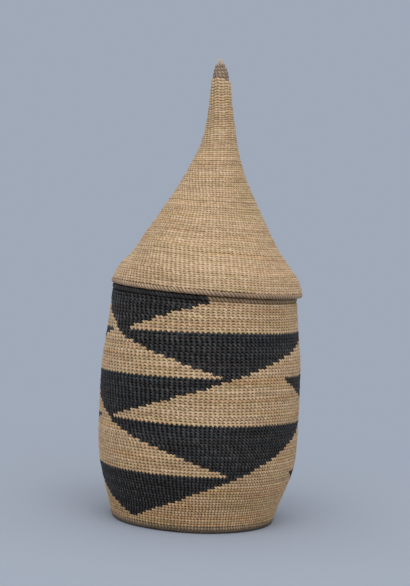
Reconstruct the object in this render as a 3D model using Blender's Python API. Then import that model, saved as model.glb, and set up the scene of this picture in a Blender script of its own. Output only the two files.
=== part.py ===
"""A small coiled basket with a tall cone lid, modelled in metres with +Z up.

The basket stands on the plane z = 0 with its axis on Z, and its front faces -Y. Angles are
measured from the front towards +X. The body is a wall of foundation coils under a skin of
stitching in two colours, which meet along a chain of inverted triangles. The lid sits a little
askew on the mouth, over a collar, and lifts off.
"""

import math

import bmesh
import bpy
from mathutils import Vector
from mathutils.geometry import delaunay_2d_cdt

# Gap between pieces that touch on the real basket, and the wider one under a skin, whose flat
# faces cut a little inside their own curve
GAP = 0.0003
SKIN_GAP = 0.0006

# Body outline, from the bottom row up: how far each stretch rises, and the radius at its top
FOOT_HEIGHT = 0.0035
FOOT_RADIUS = 0.0480
FOOT_WIDTH = 0.0036
FOOT_SETBACK = 0.0004
LOWER_RISE = 0.0137
LOWER_RADIUS = 0.0523
FLANK_RISE = 0.0150
FLANK_RADIUS = 0.0560
BELLY_RISE = 0.0135
BELLY_RADIUS = 0.0572
UPPER_BELLY_RISE = 0.0450
UPPER_BELLY_RADIUS = 0.0570
SHOULDER_RISE = 0.0145
SHOULDER_RADIUS = 0.0553
NECK_RISE = 0.0231
NECK_RADIUS = 0.0531

# Body wall: foundation coils inside, stitching outside
BODY_COIL_THICKNESS = 0.0016
BODY_SKIN_THICKNESS = 0.0009

# Base: a spiral disc that rises a little to the knot in its middle
BASE_CLEARANCE = 0.0009
BASE_THICKNESS = 0.0022
BASE_DOME = 0.0016
KNOT_RADIUS = 0.0037
KNOT_HEIGHT = 0.0030

# Mouth: its last row, and the collar sewn inside it
MOUTH_RIM_HEIGHT = 0.0024
COLLAR_THICKNESS = 0.0016
COLLAR_DEPTH = 0.0120
COLLAR_RISE = 0.0065
COLLAR_DRAW_IN = 0.0014
COLLAR_EDGE_HEIGHT = 0.0020
COLLAR_EDGE_WIDTH = 0.0020

# The mouth slopes down to the right and to the front, and the rows level out below it. Between
# there and the belly they rise a little to the right instead
LEAN_RIGHT = math.radians(2.1)
LEAN_FRONT = math.radians(2.0)
LEAN_DEPTH = 0.0250
BELLY_LEAN = math.radians(1.0)
BELLY_LEAN_DEPTH = 0.0660
LID_OFFSET = 0.0010

# Lid: its rim stands out past the mouth, and the wall's edge draws in above it
LID_OVERHANG = 0.0018
LID_RIM_HEIGHT = 0.0029
LID_RIM_WIDTH = 0.0032
LID_RIM_SETBACK = 0.0003
LID_EDGE_RISE = 0.0067
LID_EDGE_DRAW_IN = 0.0024

# Lid outline above its edge: how far each stretch rises, and the radius at its top
LID_SHOULDER_RISE = 0.0140
LID_SHOULDER_RADIUS = 0.0418
CONE_RISE = 0.0225
CONE_RADIUS = 0.0276
CONE_TOP_RISE = 0.0185
CONE_TOP_RADIUS = 0.0176
SPIRE_FOOT_RISE = 0.0180
SPIRE_FOOT_RADIUS = 0.0107
SPIRE_RISE = 0.0180
SPIRE_RADIUS = 0.0075
SPIRE_TOP_RISE = 0.0195
SPIRE_TOP_RADIUS = 0.0054

# Lid wall, the hollow under it and the bundle in the middle of the spire
LID_COIL_THICKNESS = 0.0011
LID_SKIN_THICKNESS = 0.0008
HOLLOW_HEIGHT = 0.0800
HOLLOW_CROWN = 0.0030
BUNDLE_RADIUS = 0.0021

# The lid's middle wanders off its axis: to the left above the rim, back over the cone, and to
# the left again in the spire
LOW_SWAY_HEIGHT = 0.0200
LOW_SWAY = -0.0008
HIGH_SWAY_RISE = 0.0650
HIGH_SWAY = -0.0001
TIP_SWAY_RISE = 0.0410
TIP_SWAY = -0.0027

# Cord wound round the tip, and the fibre ends that stand out of it
CORD_DIAMETER = 0.00155
CORD_CLEARANCE = 0.00045
CORD_TURNS = 3.5
WINDING_RADIUS = 0.0037
WINDING_CLOSING = math.radians(59.0)
TUFT_HEIGHT = 0.0022
TUFT_RADIUS = 0.0013
TUFT_END_RADIUS = 0.0010

# Zigzag, from the lowest point up: each tier of inverted triangles, and how deep the neck is
# where it hangs from the one above
PATTERN_FOOT = 0.0060
FIRST_TIER = 0.0264
SECOND_TIER = 0.0283
THIRD_TIER = 0.0252
FOURTH_TIER = 0.0240
FIFTH_TIER = 0.0216
FIRST_NECK = 0.0027
SECOND_NECK = 0.0030
THIRD_NECK = 0.0023
FOURTH_NECK = 0.0038
BACK_SETDOWN = 0.0009

# Each chain from the top down, in degrees round the basket. The tiers run by turns to the left
# and to the right, from the point of the triangle above to a free corner; the last point is
# the lowest one
FRONT_POINTS = (13.0, -51.0, 13.0, -56.5, 20.0, -43.1)
FRONT_CORNERS = (-97.0, 96.9, -109.0, 89.2, -106.0)
BACK_POINTS = (204.0, 124.0, 206.0, 120.0, 203.0, 132.0)
BACK_CORNERS = (95.0, 294.5, 53.5, 286.5, 71.0)
SKIN_SEAM = 80.0

# Fineness of the faces
OUTER_SIDES = 44
INNER_SIDES = 40
SMALL_SIDES = 16
BASE_STEPS = 3
KNOT_FACETS = 4
WALL_STEP = 0.0100
LID_STEP = 0.0090
COIL_FACETS = 8
EDGE_FACETS = 6
FOOT_FACETS = 10
PATTERN_STEP = 0.0082
PATTERN_MARGIN = 0.0016
CORD_POINTS = 12
CORE_STEPS = 4
SHARP_ANGLE = math.radians(40.0)
WELD_DISTANCE = 0.000001

# Each finish: red, green, blue and roughness
NATURAL_STRIP = (0.49, 0.35, 0.225, 0.7)
GRASS_COIL = (0.44, 0.31, 0.195, 0.85)
DYED_STRIP = (0.030, 0.030, 0.034, 0.6)
RIM_BROWN = (0.24, 0.16, 0.115, 0.75)
TIP_BROWN = (0.155, 0.105, 0.070, 0.7)


class Outline:
    """A smooth curve of radius against height through a few stations."""

    def __init__(self, height, radius, stretches):
        self.heights = [height]
        self.radii = [radius]
        for rise, next_radius in stretches:
            self.heights.append(self.heights[-1] + rise)
            self.radii.append(next_radius)
        last = len(self.heights) - 1
        self.slopes = []
        for index in range(last + 1):
            before = max(index - 1, 0)
            after = min(index + 1, last)
            run = self.heights[after] - self.heights[before]
            self.slopes.append((self.radii[after] - self.radii[before]) / run)

    @property
    def low(self):
        return self.heights[0]

    @property
    def high(self):
        return self.heights[-1]

    def stretch(self, height):
        """The stretch that a height lies in, and how far along it, from 0 to 1."""
        index = 0
        while index < len(self.heights) - 2 and height > self.heights[index + 1]:
            index += 1
        run = self.heights[index + 1] - self.heights[index]
        share = (height - self.heights[index]) / run
        return index, run, min(max(share, 0.0), 1.0)

    def cubic(self, index, run):
        """The four terms of the curve along one stretch, constant term first."""
        start, end = self.radii[index], self.radii[index + 1]
        leave, arrive = self.slopes[index] * run, self.slopes[index + 1] * run
        turn = 3.0 * (end - start) - 2.0 * leave - arrive
        bend = 2.0 * (start - end) + leave + arrive
        return start, leave, turn, bend

    def radius(self, height):
        index, run, t = self.stretch(height)
        start, leave, turn, bend = self.cubic(index, run)
        return start + t * (leave + t * (turn + t * bend))

    def slope(self, height):
        index, run, t = self.stretch(height)
        start, leave, turn, bend = self.cubic(index, run)
        return (leave + t * (2.0 * turn + t * 3.0 * bend)) / run

    def inset(self, height, depth):
        """Radius of the surface that lies this deep under the outline, square to it."""
        return self.radius(height) - depth * math.hypot(1.0, self.slope(height))

    def levels(self, step):
        """Heights from bottom to top, about a step apart, with every station among them."""
        levels = [self.low]
        for low, high in zip(self.heights, self.heights[1:]):
            count = max(1, round((high - low) / step))
            levels += [low + (high - low) * part / count for part in range(1, count + 1)]
        return levels


BODY = Outline(FOOT_HEIGHT + GAP, FOOT_RADIUS + FOOT_SETBACK, [
    (LOWER_RISE, LOWER_RADIUS),
    (FLANK_RISE, FLANK_RADIUS),
    (BELLY_RISE, BELLY_RADIUS),
    (UPPER_BELLY_RISE, UPPER_BELLY_RADIUS),
    (SHOULDER_RISE, SHOULDER_RADIUS),
    (NECK_RISE, NECK_RADIUS),
])

# The lid's rim rests on the mouth's last row, and its wall stands on the rim
LID_RIM_RADIUS = NECK_RADIUS + LID_OVERHANG
LID = Outline(GAP / 2 + LID_RIM_HEIGHT + GAP, LID_RIM_RADIUS - LID_RIM_SETBACK, [
    (LID_EDGE_RISE, LID_RIM_RADIUS - LID_EDGE_DRAW_IN),
    (LID_SHOULDER_RISE, LID_SHOULDER_RADIUS),
    (CONE_RISE, CONE_RADIUS),
    (CONE_TOP_RISE, CONE_TOP_RADIUS),
    (SPIRE_FOOT_RISE, SPIRE_FOOT_RADIUS),
    (SPIRE_RISE, SPIRE_RADIUS),
    (SPIRE_TOP_RISE, SPIRE_TOP_RADIUS),
])

SWAY = Outline(0.0, 0.0, [
    (LOW_SWAY_HEIGHT, LOW_SWAY),
    (HIGH_SWAY_RISE, HIGH_SWAY),
    (TIP_SWAY_RISE, TIP_SWAY),
])

# The body's wall ends under the mouth's last row, whose top is half a gap under the mouth plane
MOUTH_HEIGHT = BODY.high + GAP + MOUTH_RIM_HEIGHT + GAP / 2
BODY_WALL_THICKNESS = BODY_SKIN_THICKNESS + SKIN_GAP + BODY_COIL_THICKNESS
LID_WALL_THICKNESS = LID_SKIN_THICKNESS + SKIN_GAP + LID_COIL_THICKNESS


def share_below_mouth(height, depth):
    """From 0 at a depth below the mouth, and all that is lower, to 1 at the mouth and above."""
    return min(max(1.0 - (MOUTH_HEIGHT - height) / depth, 0.0), 1.0)


def body_point(angle, radius, height):
    """A point of the basket. Near the mouth the rows slope as the mouth does."""
    x = radius * math.sin(angle)
    y = -radius * math.cos(angle)
    share = share_below_mouth(height, LEAN_DEPTH)
    ease = share * share * (3.0 - 2.0 * share)
    slope = y * math.tan(LEAN_FRONT) - x * math.tan(LEAN_RIGHT)
    share = share_below_mouth(height, BELLY_LEAN_DEPTH)
    belly_ease = 4.0 * share * (1.0 - share)
    return Vector((x, y, height + ease * slope + belly_ease * x * math.tan(BELLY_LEAN)))


def lid_point(angle, radius, height):
    """A point of the lid, in the lid's own frame."""
    middle = SWAY.radius(height)
    return Vector((middle + radius * math.sin(angle), -radius * math.cos(angle), height))


def make_material(name, finish):
    material = bpy.data.materials.new(name)
    material.use_nodes = True
    shader = material.node_tree.nodes["Principled BSDF"]
    shader.inputs["Base Color"].default_value = (*finish[:3], 1.0)
    shader.inputs["Roughness"].default_value = finish[3]
    shader.inputs["Metallic"].default_value = 0.0
    return material


def add_piece(name, shape, finish, parent=None):
    """Turns a bmesh into a named object with a material of its own."""
    mesh = bpy.data.meshes.new(name)
    shape.to_mesh(mesh)
    shape.free()
    mesh.shade_smooth()
    mesh.set_sharp_from_angle(angle=SHARP_ANGLE)
    mesh.materials.append(make_material(name, finish))
    piece = bpy.data.objects.new(name, mesh)
    piece.parent = parent
    bpy.context.scene.collection.objects.link(piece)
    return piece


def turned(section, sides, place):
    """Turns a section about the axis.

    The section's (radius, height) points run up the outer side and down the inner side. It is a
    closed loop, or it starts and ends on the axis.
    """
    shape = bmesh.new()
    rings = []
    for radius, height in section:
        if radius == 0.0:
            rings.append([shape.verts.new(place(0.0, 0.0, height))] * sides)
        else:
            turn = [math.tau * side / sides for side in range(sides)]
            rings.append([shape.verts.new(place(angle, radius, height)) for angle in turn])
    on_axis = section[0][0] == 0.0
    pairs = list(zip(rings, rings[1:] if on_axis else rings[1:] + rings[:1]))
    for lower, upper in pairs:
        for side in range(sides):
            after = (side + 1) % sides
            corners = (lower[side], lower[after], upper[after], upper[side])
            shape.faces.new(list(dict.fromkeys(corners)))
    return shape


def coil_section(middle, low, width, height, facets):
    """A round row of coil, with a flat facet under it and another on top."""
    spread = 1.0 / math.cos(math.pi / facets)
    points = []
    for facet in range(facets):
        angle = math.tau * (facet + 0.5) / facets - math.pi / 2
        radius = middle + width / 2 * math.cos(angle)
        points.append((radius, low + height / 2 + height / 2 * spread * math.sin(angle)))
    return points


def shell_section(outline, outer_depth, inner_depth, step):
    """A wall that follows an outline, between two depths under it."""
    levels = outline.levels(step)
    outside = [(outline.inset(level, outer_depth), level) for level in levels]
    inside = [(outline.inset(level, inner_depth), level) for level in reversed(levels)]
    return outside + inside


def zigzag_tiers():
    """Heights of the zigzag's tiers, the top one first."""
    heights = [PATTERN_FOOT]
    for tier in (FIRST_TIER, SECOND_TIER, THIRD_TIER, FOURTH_TIER, FIFTH_TIER):
        heights.insert(0, heights[0] + tier)
    return heights


def zigzag_outline(points, corners, setdown):
    """Outline of one chain of inverted triangles, as (angle, height) points.

    The whole chain stands lower by the setdown.
    """
    heights = [height - setdown for height in zigzag_tiers()]
    necks = (FOURTH_NECK, THIRD_NECK, SECOND_NECK, FIRST_NECK)
    left = [(corners[0], heights[0])]
    right = [(points[0], heights[0])]
    for number, neck in enumerate(necks, start=1):
        point, height = points[number], heights[number]
        tier = [(point, height), (corners[number], height)]
        if number % 2 == 1:
            right += tier
            left.append((point, height - neck))
        else:
            left += tier
            right.append((point, height - neck))
    outline = left + [(points[-1], heights[-1])] + right[::-1]
    return [(math.radians(angle), height) for angle, height in outline]


def grow(outline, distance):
    """Moves each edge of an outline outwards by a distance. The outline turns to the left."""
    grown = []
    count = len(outline)
    for index, corner in enumerate(outline):
        arrive = (corner - outline[index - 1]).normalized()
        leave = (outline[(index + 1) % count] - corner).normalized()
        out_arrive = Vector((arrive.y, -arrive.x))
        out_leave = Vector((leave.y, -leave.x))
        middle = (out_arrive + out_leave).normalized()
        grown.append(corner + middle * distance / middle.dot(out_leave))
    return grown


def with_midpoints(outline, step):
    """The same outline with extra points along its edges, at most a step apart."""
    points = []
    for index, corner in enumerate(outline):
        after = outline[(index + 1) % len(outline)]
        count = max(1, math.ceil((after - corner).length / step))
        points += [corner.lerp(after, part / count) for part in range(count)]
    return points


def distance_to_outline(point, outline):
    nearest = math.inf
    for index, corner in enumerate(outline):
        edge = outline[(index + 1) % len(outline)] - corner
        share = (point - corner).dot(edge) / edge.length_squared
        foot = corner + edge * min(max(share, 0.0), 1.0)
        nearest = min(nearest, (point - foot).length)
    return nearest


def unroll(outline, turns=0):
    """Lays an outline of (angle, height) points flat, at the belly's own radius."""
    return [Vector(((angle + turns * math.tau) * BELLY_RADIUS, height))
            for angle, height in outline]


def cut_sheet(left, right, levels, patches, inside):
    """Cuts a flat sheet into triangles along the patches' outlines.

    Keeps those inside the patches, or those outside them. The sheet runs from left to right and
    from the first level to the last.
    """
    columns = max(1, round((right - left) / PATTERN_STEP))
    corners = [(left, levels[0]), (right, levels[0]), (right, levels[-1]), (left, levels[-1])]
    points = [Vector(corner) for corner in corners]
    outlines = [[0, 1, 2, 3]]
    for patch in patches:
        fine = with_midpoints(patch, PATTERN_STEP)
        outlines.append(list(range(len(points), len(points) + len(fine))))
        points += fine
    for column in range(columns + 1):
        across = left + (right - left) * column / columns
        for level in levels:
            point = Vector((across, level))
            if all(distance_to_outline(point, patch) > PATTERN_MARGIN for patch in patches):
                points.append(point)
    # The 1 asks for triangles inside the outlines only, and True for each one's own outlines
    cut = delaunay_2d_cdt(points, [], outlines, 1, WELD_DISTANCE, True)
    spots, triangles, owners = cut[0], cut[2], cut[5]
    kept = []
    for triangle, owner in zip(triangles, owners):
        if 0 in owner and (len(owner) > 1) == inside:
            kept.append([spots[corner] for corner in triangle])
    return kept


def wrapped_skin(triangles):
    """Wraps flat triangles round the body as a skin of even thickness."""
    shape = bmesh.new()
    angle_of = shape.verts.layers.float.new("angle")
    level_of = shape.verts.layers.float.new("level")
    for triangle in triangles:
        corners = []
        for spot in triangle:
            angle = spot.x / BELLY_RADIUS
            corner = shape.verts.new(body_point(angle, BODY.radius(spot.y), spot.y))
            corner[angle_of] = angle
            corner[level_of] = spot.y
            corners.append(corner)
        shape.faces.new(corners)
    bmesh.ops.remove_doubles(shape, verts=shape.verts, dist=WELD_DISTANCE)
    rim = [edge.link_loops[0] for edge in shape.edges if edge.is_boundary]
    rim = [(loop.vert, loop.link_loop_next.vert) for loop in rim]
    under = {}
    for corner in list(shape.verts):
        level = corner[level_of]
        radius = BODY.inset(level, BODY_SKIN_THICKNESS)
        under[corner] = shape.verts.new(body_point(corner[angle_of], radius, level))
    for face in list(shape.faces):
        shape.faces.new([under[corner] for corner in reversed(face.verts)])
    for start, end in rim:
        shape.faces.new((end, start, under[start], under[end]))
    return shape


def make_base():
    disc_radius = FOOT_RADIUS - FOOT_WIDTH - GAP
    hole = KNOT_RADIUS + GAP
    under = []
    for step in range(BASE_STEPS + 1):
        radius = hole + (disc_radius - hole) * step / BASE_STEPS
        share = (radius / disc_radius) ** 2
        under.append((radius, BASE_CLEARANCE + BASE_DOME * (1.0 - share)))
    over = [(radius, height + BASE_THICKNESS) for radius, height in reversed(under)]
    add_piece("base_coil_disc", turned(under + over, INNER_SIDES, body_point), GRASS_COIL)

    middle = BASE_CLEARANCE + BASE_DOME + BASE_THICKNESS / 2
    section = [(0.0, middle - KNOT_HEIGHT / 2)]
    for facet in range(1, KNOT_FACETS):
        angle = math.pi * facet / KNOT_FACETS
        height = middle - KNOT_HEIGHT / 2 * math.cos(angle)
        section.append((KNOT_RADIUS * math.sin(angle), height))
    section.append((0.0, middle + KNOT_HEIGHT / 2))
    add_piece("base_start_knot", turned(section, SMALL_SIDES, body_point), GRASS_COIL)

    middle = FOOT_RADIUS - FOOT_WIDTH / 2
    section = coil_section(middle, 0.0, FOOT_WIDTH, FOOT_HEIGHT, FOOT_FACETS)
    add_piece("foot_coil", turned(section, OUTER_SIDES, body_point), RIM_BROWN)


def make_body_wall():
    section = shell_section(
        BODY, BODY_SKIN_THICKNESS + SKIN_GAP, BODY_WALL_THICKNESS, WALL_STEP)
    add_piece("body_coil_wall", turned(section, INNER_SIDES, body_point), GRASS_COIL)


def make_stitching():
    """The two dyed chains, and the natural skin with both chains cut out of it."""
    levels = BODY.levels(WALL_STEP)
    chains = {
        "dark_stitching_front": zigzag_outline(FRONT_POINTS, FRONT_CORNERS, 0.0),
        "dark_stitching_back": zigzag_outline(BACK_POINTS, BACK_CORNERS, BACK_SETDOWN),
    }
    for name, chain in chains.items():
        patch = unroll(chain)
        left = min(point.x for point in patch) - PATTERN_STEP
        right = max(point.x for point in patch) + PATTERN_STEP
        triangles = cut_sheet(left, right, levels, [patch], True)
        add_piece(name, wrapped_skin(triangles), DYED_STRIP)

    seam = math.radians(SKIN_SEAM) * BELLY_RADIUS
    holes = []
    for chain in chains.values():
        holes += [grow(unroll(chain, turns), GAP) for turns in (-1, 0, 1)]
    around = math.tau * BELLY_RADIUS
    triangles = cut_sheet(seam, seam + around, levels, holes, False)
    add_piece("natural_stitching", wrapped_skin(triangles), NATURAL_STRIP)


def make_mouth():
    wall_end = BODY.high
    collar_at_wall = BODY.inset(wall_end, BODY_WALL_THICKNESS) - GAP
    collar_low = MOUTH_HEIGHT - COLLAR_DEPTH
    collar_high = MOUTH_HEIGHT + COLLAR_RISE
    collar_at_top = collar_at_wall - COLLAR_DRAW_IN
    outer = [
        (BODY.inset(collar_low, BODY_WALL_THICKNESS) - GAP, collar_low),
        (collar_at_wall, wall_end),
        (collar_at_top, collar_high),
    ]
    inner = [(radius - COLLAR_THICKNESS, height) for radius, height in reversed(outer)]
    add_piece("inner_collar", turned(outer + inner, INNER_SIDES, body_point), NATURAL_STRIP)

    middle = collar_at_top - COLLAR_THICKNESS / 2
    section = coil_section(
        middle, collar_high + GAP, COLLAR_EDGE_WIDTH, COLLAR_EDGE_HEIGHT, EDGE_FACETS)
    add_piece("collar_edge_coil", turned(section, INNER_SIDES, body_point), NATURAL_STRIP)

    rim_inner = collar_at_wall + GAP
    rim_low = wall_end + GAP
    section = coil_section(
        (rim_inner + NECK_RADIUS) / 2, rim_low, NECK_RADIUS - rim_inner, MOUTH_RIM_HEIGHT,
        COIL_FACETS)
    add_piece("mouth_rim_coil", turned(section, OUTER_SIDES, body_point), RIM_BROWN)


def make_lid(frame):
    section = coil_section(
        LID_RIM_RADIUS - LID_RIM_WIDTH / 2, GAP / 2, LID_RIM_WIDTH, LID_RIM_HEIGHT, COIL_FACETS)
    add_piece("lid_rim_coil", turned(section, OUTER_SIDES, lid_point), RIM_BROWN, frame)

    section = shell_section(LID, 0.0, LID_SKIN_THICKNESS, LID_STEP)
    add_piece("lid_stitching", turned(section, OUTER_SIDES, lid_point), NATURAL_STRIP, frame)

    levels = LID.levels(LID_STEP)
    outside = [(LID.inset(level, LID_SKIN_THICKNESS + SKIN_GAP), level) for level in levels]
    levels = [level for level in levels if level < HOLLOW_HEIGHT - LID_STEP / 2] + [HOLLOW_HEIGHT]
    hollow = [(LID.inset(level, LID_WALL_THICKNESS), level) for level in reversed(levels)]
    bore = BUNDLE_RADIUS + GAP
    middle = [(bore, LID.high), (bore, HOLLOW_HEIGHT + HOLLOW_CROWN)]
    section = outside + middle + hollow
    add_piece("lid_coil_wall", turned(section, INNER_SIDES, lid_point), GRASS_COIL, frame)


def winding_radius(share):
    """Radius of the cord's middle, from 0 at the winding's foot to 1 at its top."""
    return WINDING_RADIUS * math.cos(WINDING_CLOSING * share)


def make_tip(frame):
    winding_low = LID.high + GAP + CORD_DIAMETER / 2
    winding_rise = (CORD_DIAMETER + CORD_CLEARANCE) * CORD_TURNS
    last = round(CORD_TURNS * CORD_POINTS)
    route = []
    for number in range(last + 1):
        share = number / last
        angle = math.tau * number / CORD_POINTS
        height = winding_low + winding_rise * share
        route.append(lid_point(angle, winding_radius(share), height))
    curve = bpy.data.curves.new("tip_binding", "CURVE")
    curve.dimensions = "3D"
    curve.bevel_depth = CORD_DIAMETER / 2
    curve.bevel_resolution = 1
    curve.use_fill_caps = True
    spline = curve.splines.new("POLY")
    spline.points.add(len(route) - 1)
    for point, place in zip(spline.points, route):
        point.co = (*place, 1.0)
    curve.materials.append(make_material("tip_binding", TIP_BROWN))
    binding = bpy.data.objects.new("tip_binding", curve)
    binding.parent = frame
    bpy.context.scene.collection.objects.link(binding)

    half_turn = CORD_POINTS // 2
    apart = min((route[first] - route[second]).length
                for first in range(len(route))
                for second in range(first + half_turn, len(route)))
    print(f"tip_binding: least gap to itself {(apart - CORD_DIAMETER) * 1000:.2f} mm")

    # The bundle fills the bore, then keeps a gap inside the winding's straight stretches
    chord = math.cos(math.pi / CORD_POINTS)
    section = [
        (0.0, HOLLOW_HEIGHT),
        (BUNDLE_RADIUS, HOLLOW_HEIGHT + GAP),
        (BUNDLE_RADIUS, LID.high),
    ]
    for step in range(CORE_STEPS + 1):
        share = step / CORE_STEPS
        closing = WINDING_RADIUS * WINDING_CLOSING * math.sin(WINDING_CLOSING * share)
        steep = math.hypot(1.0, closing / winding_rise)
        room = winding_radius(share) * chord - (CORD_DIAMETER / 2 + GAP) * steep
        section.append((min(room, BUNDLE_RADIUS), winding_low + winding_rise * share))
    tuft_low = winding_low + winding_rise + CORD_DIAMETER / 2
    section += [
        (TUFT_RADIUS, tuft_low + TUFT_HEIGHT / 2),
        (TUFT_END_RADIUS, tuft_low + TUFT_HEIGHT),
        (0.0, tuft_low + TUFT_HEIGHT),
    ]
    add_piece("spire_bundle", turned(section, SMALL_SIDES, lid_point), GRASS_COIL, frame)


def main():
    for leftover in list(bpy.data.objects):
        bpy.data.objects.remove(leftover, do_unlink=True)
    make_base()
    make_body_wall()
    make_stitching()
    make_mouth()
    frame = bpy.data.objects.new("lid_frame", None)
    frame.location = (LID_OFFSET, 0.0, MOUTH_HEIGHT)
    frame.rotation_euler = (LEAN_FRONT, LEAN_RIGHT, 0.0)
    bpy.context.scene.collection.objects.link(frame)
    make_lid(frame)
    make_tip(frame)


main()
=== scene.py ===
"""Looks of a small coiled basket with a tall cone lid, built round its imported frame.

Every row of the basket is a coil that is wrapped and sewn with strips. A row starts as a flat
grid, one band of squares for each part of a stitch, and is bent round the wall that the frame
gives. Angles run from the front towards +X.
"""

import math

import bpy
import numpy as np
from mathutils import Matrix, Vector
from mathutils.bvhtree import BVHTree


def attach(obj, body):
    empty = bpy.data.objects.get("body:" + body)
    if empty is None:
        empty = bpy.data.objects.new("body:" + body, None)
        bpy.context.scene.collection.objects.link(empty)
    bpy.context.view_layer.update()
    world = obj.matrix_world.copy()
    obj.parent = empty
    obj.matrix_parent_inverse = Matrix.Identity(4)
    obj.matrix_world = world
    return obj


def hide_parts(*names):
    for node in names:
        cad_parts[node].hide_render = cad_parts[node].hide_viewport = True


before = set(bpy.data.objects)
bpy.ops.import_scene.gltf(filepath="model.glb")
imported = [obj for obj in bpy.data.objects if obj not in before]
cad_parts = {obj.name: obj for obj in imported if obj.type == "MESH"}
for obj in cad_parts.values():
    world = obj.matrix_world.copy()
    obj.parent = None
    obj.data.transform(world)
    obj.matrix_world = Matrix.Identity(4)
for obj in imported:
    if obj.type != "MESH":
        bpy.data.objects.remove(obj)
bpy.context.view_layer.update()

bl_info = {
    "name": "Lidded Coil Basket",
    "version": (1, 0, 0),
    "blender": (4, 5, 0),
    "location": "3D View > Sidebar > Basket",
    "description": "Weaves a coiled basket and its lid round their frame",
    "category": "Add Mesh",
}

MM = 0.001
# Points closer than this become one where two edges of a piece meet
MERGE = 0.000001
# The wall's skins in the order of their finishes: natural, dyed in front and dyed behind
WALL_SKINS = ("natural_stitching", "dark_stitching_front", "dark_stitching_back")


def flat(value):
    """A table by height, as those below, that has one value everywhere."""
    return ((0, value),)


# Points across a row, from its lowest outer edge up and over. Each gives how far up it lies, in
# half rows, and how far out, in mm: first on the wrap, which stays on its own row, then on the
# stitch, which crosses down over the row below. The last two say how much painted shade it gets
# on either, where it lies deep between the rows.
WRAPPED = (
    (-1.04, -0.90, -1.64, -0.08, 1.00, 0.15),
    (-0.88, -0.42, -1.08, 0.03, 0.65, 0.00),
    (-0.48, -0.12, -0.48, 0.07, 0.08, 0.00),
    (0.05, 0.00, 0.05, 0.08, 0.00, 0.00),
    (0.62, -0.17, 0.62, -0.06, 0.14, 0.05),
    (1.02, -0.80, 1.02, -0.70, 0.90, 0.80),
)
# The two inner corners, in half rows, at the wall's whole thickness: how much painted shade they
# get, and how much of a stitch's slant they follow
INNER_CORNERS = (0.66, -0.66)
INNER_PAINTED_SHADE = 0.25
INNER_SLANT = 0.4
# Where across the row's own tones the points are read: how far the outer ones spread round the
# middle, then the places of the inner ones and of the closing one
OUTER_TONES = 0.4
INNER_TONES = (0.97, 0.97, 0.98)

# Places along a stitch: the strip's first edge, both sides of its flat middle, its last edge, and
# the wrap up to the next stitch. They are in strip widths from the crossing's middle, but the
# wrap's, which is in stitches
STITCH_EDGES = (-0.50, -0.30, 0.30, 0.50, 0.0)
PARTS = len(STITCH_EDGES)
WRAP_PLACE = 0.5
# Which of them cross the row below, which are the strip's two sides, how far those dip towards
# the wall, in mm, and how much painted shade darkens them
CROSSES = (0, 1, 1, 0, 0)
SIDES = (1, 0, 0, 1, 0)
SIDE_DIP = 0.15
SIDE_SHADE = 0.20
# A stitch's end is cut square to its slant, so its one side reaches further down
END_CUT = (0, 0.16, -0.16, 0, 0)
# Above this place on its own row, in half rows, a stitch doesn't change its reach
TAIL_TOP = -0.5
# How deep in the groove between two stitches each place lies, which sets how much painted shade
# it gets, and where it reads its tone
GROOVE_SHADES = (0.6, 0.0, 0.0, 0.6, 1.0)
TONES = (0.0, 0.28, 0.60, 0.80, 0.90)
# How far the strips' middles lie out from the part's outline, in mm
PROUD = -0.18
# How much wider one strip is than another
STRIP_CHANGE = 0.08
# Where along a stitch its dye is read, in stitches
DYE_PLACE = 0.2
# How much closer the stitches lie on the right than on the left, as a share of the turn
CROWDING = 0.17
# The fewest stitches of a row, and the most of a piece
FEWEST_STITCHES = 8
MOST_STITCHES = 2400

# How far below the mouth the rows still slope with it, and the belly's own slope to the side
LEAN_DEPTH = 0.0250
BELLY_LEAN = math.radians(1.0)
BELLY_LEAN_DEPTH = 0.0660
# How often a height is measured anew, which heights count as one, how far a wall's outline goes on
# past its ends, and at how many places it is drawn and its rows are counted
MEASURE_ROUNDS = 8
LEVEL_WIDTH = 0.0003
LEVEL_DIGITS = 4
ROW_END_REACH = 0.0030
WALL_SAMPLES = 900
ROW_SAMPLES = 4000

# By height in mm: how wide a row is, measured along the wall, how wide a stitch is, and how far
# the stitches lean
BODY_ROWS = ((0, 1.48), (12, 1.48), (25, 1.60), (37, 1.72), (50, 1.64), (62, 1.58), (80, 1.58),
             (92, 1.74), (104, 1.80), (118, 1.70), (130, 1.68))
BODY_STITCHES = ((0, 1.75), (15, 1.80), (30, 2.05), (42, 2.20), (65, 2.60), (95, 2.80), (128, 2.80))
BODY_SLANT = ((0, 0.25), (15, 0.25), (50, 0.52), (130, 0.56))
LID_ROWS = ((0, 1.32), (12, 1.38), (30, 1.48), (48, 1.38), (60, 1.36), (78, 1.22), (98, 1.32),
            (117, 1.66))
LID_STITCHES = ((0, 2.40), (12, 2.45), (25, 2.40), (36, 2.00), (46, 1.72), (58, 1.85), (72, 2.05),
                (85, 2.20), (120, 2.20))
LID_SLANT = ((0, 0.60), (40, 0.50), (80, 0.35), (120, 0.30))
HIDDEN_SLANT = flat(0.30)
COLLAR_ROWS = flat(1.75)
COLLAR_STITCHES = flat(3.1)
BASE_ROWS = flat(1.90)
BASE_STITCHES = flat(2.1)
FOOT_ROWS = flat(1.75)

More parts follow.
